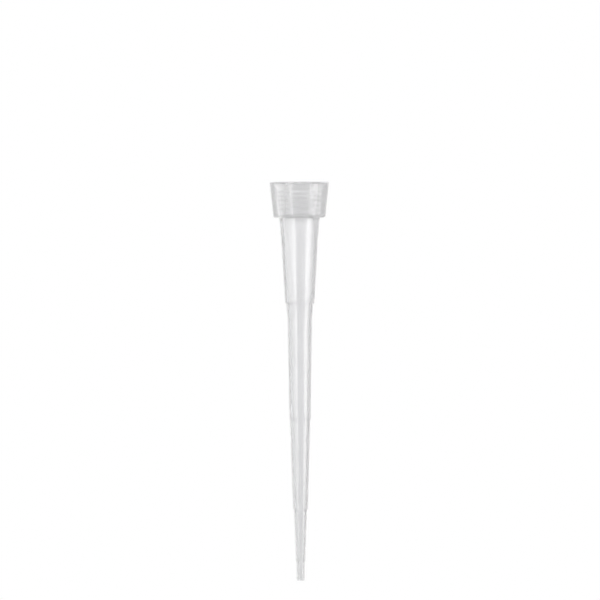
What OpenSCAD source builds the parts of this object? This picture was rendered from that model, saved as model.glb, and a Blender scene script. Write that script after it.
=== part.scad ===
// One-piece moulded pipette tip for a slim micro-volume pipettor.
// It is a single body of revolution: collar, tapered body in four stepped
// lengths, a nose and an orifice, around one open bore. The section below is
// that of the moulding: the outside is the cavity, the inside is the core pin.
//
// Millimetres, +Z towards the mouth. The origin is on the axis, at the middle
// of the lowest sealing ring, which is where the nozzle seats. Distances named
// "below the rim" are turned into heights by at().

/* [Collar] */
// Height of the collar, from the rim down to its ledge
collar_h = 4.05; // [3.8:0.05:4.6]
// Outer diameter of the collar at the rim, without the lip
collar_top_d = 6.84; // [6.4:0.05:7.2]
// Outer diameter of the collar at the ledge, before its corner is rounded
collar_bottom_d = 6.00; // [5.6:0.02:6.4]
// Corner radius where the collar's side meets the ledge
ledge_corner_r = 0.24; // [0.05:0.01:0.4]
// Radius in the inner corner, where the ledge meets the neck
neck_fillet_r = 0.12; // [0.04:0.01:0.2]
// How far the fine lip round the rim stands out of the collar's side
lip_out = 0.05; // [0.01:0.01:0.08]
// Height of that lip
lip_h = 0.16; // [0.12:0.01:0.25]

/* [Nozzle socket] */
// Depth of the lowest sealing ring's middle below the rim
seat_depth = 3.45; // [3.3:0.05:3.7]
// Diameter of the lowest sealing ring's land, the tightest place in the socket
seat_d = 3.22; // [3.1:0.01:3.3]
// Length of that land, along the axis
seat_land = 0.20; // [0.1:0.02:0.3]
// Number of sealing rings
ring_count = 6; // [2:1:6]
// Distance from ring to ring
ring_pitch = 0.51; // [0.44:0.01:0.52]
// How far each ring stands in from the socket's wall
ring_h = 0.08; // [0.04:0.01:0.09]
// Width of a ring at its foot
ring_w = 0.30; // [0.2:0.01:0.34]
// Taper of the socket, per side, in degrees
socket_taper = 2.2; // [1:0.1:3]
// Diameter of the mouth, at the rim
mouth_d = 4.50; // [4.2:0.05:5]
// Height of the lead-in between the mouth and the socket
lead_in_h = 0.50; // [0.3:0.05:0.6]

/* [Outside of the body] */
// Length of the neck, from the ledge to the change of taper
neck_len = 2.75; // [2:0.05:4]
// Length from there to the first step
upper_len = 7.1; // [6:0.1:9]
// Length of the short cone below the first step
shoulder_len = 2.0; // [1.5:0.1:3]
// Length of the middle, from the short cone to the second step
middle_len = 11.3; // [9:0.1:13]
// Length of the lower body, from the second step to the third
lower_len = 10.50; // [8:0.05:12]
// Length of the nose cone below the third step
nose_len = 6.00; // [5:0.05:7.5]
// Length of the slender end, down to the orifice
end_len = 2.3; // [1.5:0.1:3]
// Diameter of the neck at the ledge
neck_top_d = 4.68; // [4.4:0.02:4.8]
// Diameter at the change of taper
upper_top_d = 4.20; // [4.1:0.02:4.36]
// Diameter just above the first step
upper_bottom_d = 3.37; // [3.25:0.01:3.5]
// Diameter just below the first step
shoulder_top_d = 3.10; // [3:0.01:3.2]
// Diameter where the middle begins
middle_top_d = 2.80; // [2.7:0.01:2.95]
// Diameter just above the second step
middle_bottom_d = 2.45; // [2.37:0.01:2.6]
// Diameter just below the second step
lower_top_d = 2.33; // [2.2:0.01:2.36]
// Diameter just above the third step
lower_bottom_d = 1.69; // [1.62:0.01:1.8]
// Diameter just below the third step
nose_top_d = 1.48; // [1.4:0.01:1.56]
// Diameter at the foot of the nose cone
nose_bottom_d = 1.03; // [0.95:0.01:1.1]
// Diameter at the top of the slender end
end_top_d = 0.92; // [0.86:0.01:0.94]
// Outer diameter at the orifice
end_d = 0.85; // [0.78:0.01:0.86]

/* [Bore below the socket] */
// Bore diameter 7.8 mm below the rim, past the nozzle's end
bore_guide_d = 3.36; // [3.26:0.01:3.4]
// Bore diameter 13 mm below the rim
bore_upper_d = 2.78; // [2.6:0.01:2.85]
// Bore diameter 16 mm below the rim
bore_middle_d = 2.12; // [2:0.01:2.2]
// Bore diameter 27 mm below the rim
bore_lower_d = 1.73; // [1.6:0.01:1.8]
// Bore diameter 36 mm below the rim
bore_nose_d = 1.24; // [1.1:0.01:1.3]
// Bore diameter at the top of the slender end
bore_end_d = 0.58; // [0.5:0.01:0.62]
// Diameter of the orifice
orifice_d = 0.42; // [0.38:0.01:0.46]

/* [Hidden] */

eps_r = 0.08;             // edge radius at the orifice
mouth_r = 0.05;           // edge radius at the mouth
lip_r = 0.05;             // edge radius of the lip
step1_h = 0.16;           // axial height of each step's bevel
step2_h = 0.34;
step3_h = 0.32;
step4_h = 0.22;

// height of a point that lies d below the rim
function at(d) = seat_depth - d;

// distances of the outside's stations below the rim
d_neck = collar_h + neck_len;
d_step1 = d_neck + upper_len;
d_mid = d_step1 + shoulder_len;
d_step2 = d_mid + middle_len;
d_step3 = d_step2 + lower_len;
d_end = d_step3 + nose_len;
total_len = d_end + end_len;

// stations of the bore keep their places between the outside's stations
d_guide = d_neck + 0.141 * upper_len;
d_upper = d_step1 - 0.9;
d_core_mid = d_mid + 0.1;
d_core_low = d_step2 - 0.2;
d_core_nose = d_step3 - 1.6;
d_core_end = d_end - 0.1;

collar_tilt = atan((collar_top_d - collar_bottom_d) / 2 / collar_h);
neck_tilt = atan((neck_top_d - upper_top_d) / 2 / neck_len);
taper = tan(socket_taper);
lead_z = at(lead_in_h);
pitch = min(ring_pitch, (lead_z - ring_w / 2 - 0.04) / max(ring_count - 1, 1));

// points of an arc about (x, z), from angle a to angle b
function arc(x, z, r, a, b, n = 6) =
    [for (i = [0:n]) let (t = a + (b - a) * i / n) [x + r * cos(t), z + r * sin(t)]];

// radius of the collar's side at a height
function side(z) = collar_bottom_d / 2 + (z - at(collar_h)) * tan(collar_tilt);

// radius of the neck's outside at a height
function neck(z) = neck_top_d / 2 + (z - at(collar_h)) * tan(neck_tilt);

// radius of the socket's wall, between its rings, at a height
function socket_wall(z) = seat_d / 2 + ring_h + z * taper;

// one rounded sealing ring on the socket's wall, listed upwards
function ring(z0, n = 8) =
    [for (i = [0:n]) let (u = 2 * i / n - 1, z = z0 + u * ring_w / 2)
        [socket_wall(z) - ring_h * (1 - u * u), z]];

// half of the lowest ring, from its foot (u = -1) to its land, or the mirror
// of that above the land
function seat_flank(way, n = 4) =
    [for (i = [0:n]) let (u = way < 0 ? 1 - i / n : i / n,
                          z = way * (seat_land / 2 + u * 0.12))
        [u == 0 ? seat_d / 2
                : seat_d / 2 + (socket_wall(way * (seat_land / 2 + 0.12)) - seat_d / 2) * u * u, z]];

// the rim: the mouth's edge, the top and the lip
rim = concat(
    arc(mouth_d / 2 + mouth_r, at(mouth_r), mouth_r, 180 - 20, 90, 4),
    arc(side(at(0)) + lip_out - lip_r, at(lip_r), lip_r, 90, 0, 4),
    [[side(at(0)) + lip_out, at(lip_h * 0.45)], [side(at(lip_h)), at(lip_h)]]);

// the collar's foot: its rounded corner, the ledge and the fillet to the neck
foot_x = side(at(collar_h) + ledge_corner_r) - ledge_corner_r / cos(collar_tilt);
fillet_x = neck(at(collar_h) - neck_fillet_r) + neck_fillet_r / cos(neck_tilt);
foot = concat(
    arc(foot_x, at(collar_h) + ledge_corner_r, ledge_corner_r, -collar_tilt, -90, 8),
    arc(fillet_x, at(collar_h) - neck_fillet_r, neck_fillet_r, 90, 180 - neck_tilt, 6));

// the stepped outside, downwards
outside = [
    [upper_top_d / 2, at(d_neck)],
    [upper_bottom_d / 2, at(d_step1)],
    [shoulder_top_d / 2, at(d_step1 + step1_h)],
    [middle_top_d / 2, at(d_mid)],
    [middle_bottom_d / 2, at(d_step2)],
    [lower_top_d / 2, at(d_step2 + step2_h)],
    [lower_bottom_d / 2, at(d_step3)],
    [nose_top_d / 2, at(d_step3 + step3_h)],
    [nose_bottom_d / 2, at(d_end)],
    [end_top_d / 2, at(d_end + step4_h)]];

// the orifice: the rounded outer edge and the flat end
orifice = concat(
    arc(end_d / 2 - eps_r, at(total_len - eps_r), eps_r, 0, -90, 5),
    [[orifice_d / 2, at(total_len)]]);

// the bore, upwards, as far as the foot of the lowest ring
bore = [
    [bore_end_d / 2, at(d_core_end)],
    [bore_nose_d / 2, at(d_core_nose)],
    [bore_lower_d / 2, at(d_core_low)],
    [bore_middle_d / 2, at(d_core_mid)],
    [bore_upper_d / 2, at(d_upper)],
    [bore_guide_d / 2, at(d_guide)]];

// the sealing rings, upwards, and the foot of the lead-in
rings = concat(
    seat_flank(-1), seat_flank(1),
    [for (k = [1:ring_count - 1]) each ring(k * pitch)],
    [[socket_wall(lead_z), lead_z]]);

section = concat(rim, foot, outside, orifice, bore, rings);

module tip() {
    color([0.90, 0.92, 0.94, 0.55])
        rotate_extrude($fn = 144)
            polygon(section);
}

tip();
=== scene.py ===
"""Looks of a one-piece moulded pipette tip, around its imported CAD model.

Everything is in metres, in the row's frame: +Z out of the mouth, and the
origin on the axis at the lowest sealing ring. Lengths written in this script
are in millimetres, with heights given as distances below the rim.
"""

import math

import bpy
from mathutils import Matrix, Vector


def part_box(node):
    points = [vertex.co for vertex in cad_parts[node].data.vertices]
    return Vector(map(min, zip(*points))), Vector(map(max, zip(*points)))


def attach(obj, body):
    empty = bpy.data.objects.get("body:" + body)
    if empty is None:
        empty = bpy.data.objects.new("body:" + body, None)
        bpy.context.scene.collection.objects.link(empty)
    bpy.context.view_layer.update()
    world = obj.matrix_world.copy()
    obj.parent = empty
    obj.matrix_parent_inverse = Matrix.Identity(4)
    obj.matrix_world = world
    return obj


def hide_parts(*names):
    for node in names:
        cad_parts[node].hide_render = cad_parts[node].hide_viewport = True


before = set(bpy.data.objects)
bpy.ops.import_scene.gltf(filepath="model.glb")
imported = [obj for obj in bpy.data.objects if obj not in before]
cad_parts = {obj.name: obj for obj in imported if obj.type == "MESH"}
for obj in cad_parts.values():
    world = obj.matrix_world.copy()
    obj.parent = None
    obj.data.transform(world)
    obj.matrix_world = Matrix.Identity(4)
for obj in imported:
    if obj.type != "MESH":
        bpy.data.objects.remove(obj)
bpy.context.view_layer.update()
node_lo, node_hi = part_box("tip")
MM = 0.001
RIM = node_hi.z if hasattr(node_hi, "z") else node_hi[2]     # height of the rim
LOW = node_lo.z if hasattr(node_lo, "z") else node_lo[2]     # height of the orifice


# ---------------------------------------------------------------- section
def rounded(points, support=0.03):
    """The closed section: each (r, depth, fillet, steps) corner becomes an arc
    with a supporting point on each side, so that smooth shading stays flat on
    the long cones."""
    out = []
    n = len(points)
    for i, (x, y, f, steps) in enumerate(points):
        p = Vector((x, y))
        a = Vector(points[i - 1][:2]) - p
        b = Vector(points[(i + 1) % n][:2]) - p
        la, lb = a.length, b.length
        a, b = a / la, b / lb
        turn = math.pi - a.angle(b)
        if f <= 0 or turn < 0.004:
            out.append(p)
            continue
        t = min(f * math.tan(turn / 2), la * 0.45, lb * 0.45)
        r = t / math.tan(turn / 2)
        p0, p1 = p + a * t, p + b * t
        centre = p + (a + b).normalized() * (r / math.cos(turn / 2))
        sa = min(support, (la - t) * 0.3)
        sb = min(support, (lb - t) * 0.3)
        out.append(p0 + a * sa)
        for k in range(steps + 1):
            w = k / steps
            d0, d1 = p0 - centre, p1 - centre
            ang = d0.angle_signed(d1)
            c, s = math.cos(-ang * w), math.sin(-ang * w)
            out.append(centre + Vector((d0.x * c - d0.y * s, d0.x * s + d0.y * c)))
        out.append(p1 + b * sb)
    return out


# outside, from the rim's inner edge round the collar and down to the orifice
OUTSIDE = [
    (2.25, 0.00, 0.05, 5),
    (3.47, 0.00, 0.05, 6),
    (3.47, 0.07, 0.05, 4),
    (3.405, 0.16, 0.08, 3),
    (3.00, 4.05, 0.24, 10),
    (2.34, 4.05, 0.12, 7),
    (2.10, 6.80, 1.50, 4),
    (1.685, 13.90, 0.05, 4),
    (1.55, 14.06, 0.08, 4),
    (1.40, 15.90, 1.50, 4),
    (1.225, 27.20, 0.08, 4),
    (1.165, 27.54, 0.20, 4),
    (0.845, 37.70, 0.06, 4),
    (0.74, 38.02, 0.06, 4),
    (0.515, 43.70, 0.20, 4),
    (0.46, 43.92, 0.20, 4),
    (0.425, 46.00, 0.08, 6),
]

# bore, from the orifice up to the lowest sealing ring
BORE = [
    (0.21, 46.00, 0.025, 4),
    (0.29, 43.60, 1.5, 3),
    (0.62, 36.10, 2.0, 3),
    (0.865, 27.00, 2.0, 3),
    (1.06, 16.00, 2.0, 4),
    (1.39, 13.00, 1.0, 4),
    (1.68, 7.80, 2.0, 4),
]


def socket():
    """The six rounded sealing rings and the lead-in, upwards."""
    taper = math.tan(math.radians(2.2))
    wall = lambda z: 1.61 + 0.08 + z * taper
    pts = []
    n = 6
    for k in range(-n, n + 1):
        u = k / n
        z = math.copysign(0.10 + 0.12 * abs(u), u) if k else 0.0
        if k == 0:
            pts += [(1.61, -0.05), (1.61, 0.05)]
            continue
        pts.append((1.61 + (wall(z) - 1.61) * u * u, z))
    for ring in range(1, 6):
        for k in range(-n, n + 1):
            u = k / n
            z = ring * 0.51 + u * 0.15
            pts.append((wall(z) - 0.08 * (1 - u * u), z))
    pts.append((wall(2.95), 2.95))
    return [(r, 3.45 - z, 0.0, 0) for r, z in pts]


section = rounded(OUTSIDE + BORE + socket())

# long stretches get extra rings, so that the mesh has well-shaped faces
profile = []
for i, p in enumerate(section):
    q = section[(i + 1) % len(section)]
    n = max(1, math.ceil((q - p).length / 0.9))
    profile += [p.lerp(q, k / n) for k in range(n)]

SEGMENTS = 240
verts, faces = [], []
for p in profile:
    for s in range(SEGMENTS):
        a = 2 * math.pi * s / SEGMENTS
        verts.append((p.x * MM * math.cos(a), p.x * MM * math.sin(a), RIM - p.y * MM))
n = len(profile)
for i in range(n):
    for s in range(SEGMENTS):
        t = (s + 1) % SEGMENTS
        j = (i + 1) % n
        faces.append((i * SEGMENTS + s, j * SEGMENTS + s, j * SEGMENTS + t, i * SEGMENTS + t))
mesh = bpy.data.meshes.new("tip_moulding")
mesh.from_pydata(verts, [], faces)
mesh.update()
mesh.shade_smooth()
tip = bpy.data.objects.new("tip_moulding", mesh)
bpy.context.scene.collection.objects.link(tip)
# outward normals
import bmesh
bm = bmesh.new()
bm.from_mesh(mesh)
bmesh.ops.recalc_face_normals(bm, faces=bm.faces)
bm.to_mesh(mesh)
bm.free()


# --------------------------------------------------------------- material
def polypropylene():
    """Natural polypropylene with the satin surface of a polished cavity: faint
    draw lines along the axis, a slow unevenness, a trace of random cloudiness, and painted shade that
    darkens the base colour towards the nose and in the collar."""
    m = bpy.data.materials.new("translucent_polypropylene")
    m.use_nodes = True
    nt = m.node_tree
    nodes, links = nt.nodes, nt.links
    bsdf = next(x for x in nodes if x.type == "BSDF_PRINCIPLED")
    bsdf.inputs["IOR"].default_value = 1.49
    bsdf.inputs["Transmission Weight"].default_value = 0.82

    def add(kind, **values):
        node = nodes.new(kind)
        for key, value in values.items():
            node.inputs[key.replace("_", " ")].default_value = value
        return node

    coord = nodes.new("ShaderNodeTexCoord")

    # draw lines: noise that is long along Z and fine round the part
    stretch = add("ShaderNodeMapping", Scale=(1, 1, 0.03))
    links.new(coord.outputs["Object"], stretch.inputs["Vector"])
    lines = add("ShaderNodeTexNoise", Scale=5200, Detail=3, Roughness=0.55)
    links.new(stretch.outputs["Vector"], lines.inputs["Vector"])

    # slow unevenness of the moulded skin
    waves = add("ShaderNodeTexNoise", Scale=520, Detail=2, Roughness=0.5)
    links.new(coord.outputs["Object"], waves.inputs["Vector"])

    # a trace of random cloudiness, over painted shade: the base colour grows darker towards the nose
    cloud = add("ShaderNodeTexNoise", Scale=260, Detail=3, Roughness=0.55)
    links.new(coord.outputs["Object"], cloud.inputs["Vector"])
    apart = nodes.new("ShaderNodeSeparateXYZ")
    links.new(coord.outputs["Object"], apart.inputs["Vector"])
    painted_nose_shade = add("ShaderNodeMapRange", From_Min=-0.040, From_Max=-0.003, To_Min=0.27, To_Max=0.88)
    links.new(apart.outputs["Z"], painted_nose_shade.inputs["Value"])
    mixed = nodes.new("ShaderNodeMath")
    mixed.operation = "MULTIPLY_ADD"
    mixed.inputs[1].default_value = 0.20
    links.new(cloud.outputs["Fac"], mixed.inputs[0])
    links.new(painted_nose_shade.outputs["Result"], mixed.inputs[2])
    # the collar, the thickest place, takes the darker colour almost wholly: partly a milkier tone of the
    # thick wall, partly painted shade
    thin = add("ShaderNodeMapRange", From_Min=-0.0009, From_Max=-0.0002, To_Min=1.0, To_Max=0.05)
    links.new(apart.outputs["Z"], thin.inputs["Value"])
    share = nodes.new("ShaderNodeMath")
    share.operation = "MULTIPLY"
    links.new(mixed.outputs["Value"], share.inputs[0])
    links.new(thin.outputs["Result"], share.inputs[1])
    # the base colour: A is the darker tone, which carries the painted shade, and B is the paler one
    tint = nodes.new("ShaderNodeMix")
    tint.data_type = "RGBA"
    tint.inputs["A"].default_value = (0.768, 0.768, 0.774, 1)
    tint.inputs["B"].default_value = (0.869, 0.868, 0.875, 1)
    links.new(share.outputs["Value"], tint.inputs["Factor"])
    links.new(tint.outputs["Result"], bsdf.inputs["Base Color"])

    # roughness follows the draw lines and the unevenness
    blend = nodes.new("ShaderNodeMix")
    blend.inputs["Factor"].default_value = 0.65
    links.new(lines.outputs["Fac"], blend.inputs["A"])
    links.new(waves.outputs["Fac"], blend.inputs["B"])
    rough = add("ShaderNodeMapRange", From_Min=0.3, From_Max=0.7, To_Min=0.22, To_Max=0.24)
    links.new(blend.outputs["Result"], rough.inputs["Value"])
    links.new(rough.outputs["Result"], bsdf.inputs["Roughness"])

    # relief: micrometres of draw lines over a slow unevenness
    fine = add("ShaderNodeBump", Strength=0.3, Distance=0.0000010)
    links.new(lines.outputs["Fac"], fine.inputs["Height"])
    slow = add("ShaderNodeBump", Strength=0.4, Distance=0.0000040)
    links.new(waves.outputs["Fac"], slow.inputs["Height"])
    links.new(fine.outputs["Normal"], slow.inputs["Normal"])
    links.new(slow.outputs["Normal"], bsdf.inputs["Normal"])
    return m


pp = polypropylene()
mesh.materials.append(pp)
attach(tip, "root")
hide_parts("tip")

# ------------------------------------------------------------------ stage
scene = bpy.context.scene
scene.view_settings.view_transform = "Standard"
scene.cycles.filter_width = 2.0      # as soft as the lens
scene.cycles.max_bounces = 24
scene.cycles.min_light_bounces = 12
scene.cycles.glossy_bounces = 16
scene.cycles.transmission_bounces = 24
scene.cycles.diffuse_bounces = 4

ROOM = 0.52       # light that the room gives
WALL = 0.84       # the paler wall that the camera sees behind the part
world = bpy.data.worlds.new("studio")
scene.world = world
world.use_nodes = True
wn, wl = world.node_tree.nodes, world.node_tree.links
background = wn["Background"]
background.inputs["Color"].default_value = (1, 1, 1, 1)
# a pale room, with a white backdrop behind the part (+Y)
coord = wn.new("ShaderNodeTexCoord")
apart = wn.new("ShaderNodeSeparateXYZ")
wl.new(coord.outputs["Generated"], apart.inputs[0])
lift = wn.new("ShaderNodeMapRange")
lift.interpolation_type = "SMOOTHSTEP"
lift.inputs["From Min"].default_value = 0.78
lift.inputs["From Max"].default_value = 0.96
lift.inputs["To Min"].default_value = ROOM
seen = wn.new("ShaderNodeLightPath")
wall = wn.new("ShaderNodeMapRange")
wall.inputs["To Min"].default_value = ROOM
wall.inputs["To Max"].default_value = WALL
wl.new(seen.outputs["Is Camera Ray"], wall.inputs["Value"])
wl.new(wall.outputs["Result"], lift.inputs["To Min"])
lift.inputs["To Max"].default_value = 1.0
wl.new(apart.outputs["Y"], lift.inputs["Value"])
wl.new(lift.outputs["Result"], background.inputs["Strength"])


# the softboxes light the part only; the floor has an even light of its own
part_only = bpy.data.collections.new("part_only")
part_only.objects.link(tip)
floor_only = bpy.data.collections.new("floor_only")


def softbox(name, azimuth, spread, radiance, through=False, distance=0.6, height=0.9):
    """A softbox that bends round the part, in strips that face it. Azimuth is 0
    at the camera and 90 at +X; spread is the angle that it covers as seen from
    the part; through says whether it is seen through the part."""
    count = math.ceil(spread / 15)
    step = spread / count
    middle = Vector((0, 0, (RIM + LOW) / 2))
    for i in range(count):
        a = math.radians(azimuth - spread / 2 + (i + 0.5) * step)
        data = bpy.data.lights.new(name, "AREA")
        data.shape = "RECTANGLE"
        data.size = 2 * distance * math.tan(math.radians(step / 2))
        data.size_y = height
        data.energy = radiance * 4 * data.size * data.size_y
        light = bpy.data.objects.new(name, data)
        scene.collection.objects.link(light)
        light.location = middle + Vector((math.sin(a), -math.cos(a), 0)) * distance
        light.rotation_euler = (middle - light.location).to_track_quat("-Z", "Y").to_euler()
        light.visible_camera = False
        light.visible_transmission = through
        light.light_linking.receiver_collection = part_only


softbox("softbox_left_key", -33, 12, 5.6, through=True)
softbox("softbox_left_wide", -76, 74, 2.15)
softbox("softbox_right_key", 59.5, 36, 4.3, through=True)
softbox("softbox_right_wide", 89.75, 24.5, 1.25)


# a pale floor, below the hanging tip
def floor(radius, below, segments=96):
    z = LOW - below
    ring = [(radius * math.cos(2 * math.pi * i / segments), radius * math.sin(2 * math.pi * i / segments), z)
            for i in range(segments)]
    data = bpy.data.meshes.new("floor")
    data.from_pydata(ring, [], [tuple(range(segments))])
    data.update()
    obj = bpy.data.objects.new("floor", data)
    scene.collection.objects.link(obj)
    mat = bpy.data.materials.new("pale_floor")
    mat.use_nodes = True
    fn, fl = mat.node_tree.nodes, mat.node_tree.links
    shader = next(x for x in fn if x.type == "BSDF_PRINCIPLED")
    shader.inputs["Base Color"].default_value = (0.66, 0.66, 0.655, 1)
    shader.inputs["Roughness"].default_value = 0.9
    shader.inputs["Specular IOR Level"].default_value = 0.0
    # its edge fades into the room, so that there is no hard horizon
    where = fn.new("ShaderNodeTexCoord")
    far = fn.new("ShaderNodeVectorMath")
    far.operation = "LENGTH"
    fl.new(where.outputs["Object"], far.inputs[0])
    fade = fn.new("ShaderNodeMapRange")
    fade.interpolation_type = "SMOOTHSTEP"
    fade.inputs["From Min"].default_value = radius * 0.45
    fade.inputs["From Max"].default_value = radius
    fade.inputs["To Min"].default_value = 1.0
    fade.inputs["To Max"].default_value = 0.0
    fl.new(far.outputs["Value"], fade.inputs["Value"])
    # and it is one-sided, so that the part can be looked at from below
    side = fn.new("ShaderNodeNewGeometry")
    shown = fn.new("ShaderNodeMix")
    fl.new(side.outputs["Backfacing"], shown.inputs["Factor"])
    fl.new(fade.outputs["Result"], shown.inputs["A"])
    shown.inputs["B"].default_value = 0.0
    fl.new(shown.outputs["Result"], shader.inputs["Alpha"])
    data.materials.append(mat)
    return obj


floor_only.objects.link(floor(0.50, 0.05))


def floor_light(radiance, radius, above):
    """A wide overhead light for the floor alone, so that it is as pale as the
    wall behind it."""
    data = bpy.data.lights.new("floor_light", "AREA")
    data.shape = "DISK"
    data.size = 2 * radius
    data.energy = radiance * 4 * math.pi * radius ** 2
    light = bpy.data.objects.new("floor_light", data)
    scene.collection.objects.link(light)
    light.location = (0, 0, LOW + above)
    light.visible_camera = False
    light.visible_glossy = False
    light.visible_transmission = False
    light.light_linking.receiver_collection = floor_only


floor_light(1.15, 1.0, 0.9)

# ----------------------------------------------------------------- camera
PX = 46.0 * MM / 398.0                       # size of one picture element at the tip
DIST = 0.8
cam_data = bpy.data.cameras.new("camera")
cam_data.sensor_width = 36.0
cam_data.lens = 36.0 * DIST / (600 * PX)
cam_data.clip_start, cam_data.clip_end = 0.01, 50.0
cam = bpy.data.objects.new("camera", cam_data)
scene.collection.objects.link(cam)
scene.camera = cam
# the rim's height is 117.6 rows above the picture's middle, and the axis is
# close to it, leaning 0.2 degrees
cam_z = RIM - 117.6 * PX
LEAN = 0.2
cam.location = (0.25 * PX, -DIST, cam_z)
cam.rotation_euler = (math.radians(90), math.radians(LEAN), 0)
